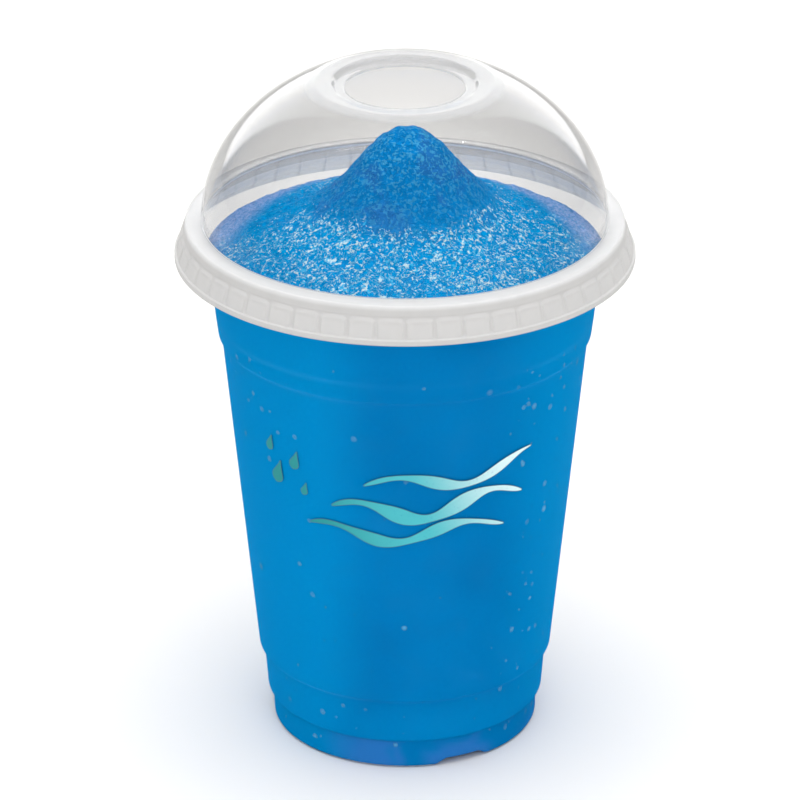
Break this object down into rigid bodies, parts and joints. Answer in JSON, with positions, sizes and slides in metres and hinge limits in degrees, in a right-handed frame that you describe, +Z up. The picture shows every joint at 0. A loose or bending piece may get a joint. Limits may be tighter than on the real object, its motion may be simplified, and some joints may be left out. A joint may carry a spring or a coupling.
{
  "type": "slush cup with dome lid",
  "caption": "Clear tapered cold-drink cup filled with blue slush that rises to a peak, under a clear lift-off dome lid with a straw hole and a fluted skirt.",
  "frame": {"origin": "centre of the cup's foot ring, on the surface that the cup stands on", "axes": "+Z up along the cup's axis, from the foot to the straw hole; -Y is the front, with one notch of the foot ring 26 degrees to its right"},
  "size_m": [0.102, 0.102, 0.1541],
  "materials": {
    "cup_clear_plastic": "clear, glossy",
    "lid_clear_plastic": "clear, glossy",
    "blue_slush": "wet granular ice"
  },
  "bodies": {
    "cup": {"cup": "cup_clear_plastic", "slush": "blue_slush"},
    "lid": {"dome_lid": "lid_clear_plastic"}
  },
  "joints": [
    {"name": "lid_lift", "type": "slide", "parent": "cup", "child": "lid", "axis": [0, 0, 1], "range_m": [0, 0.07]}
  ]
}
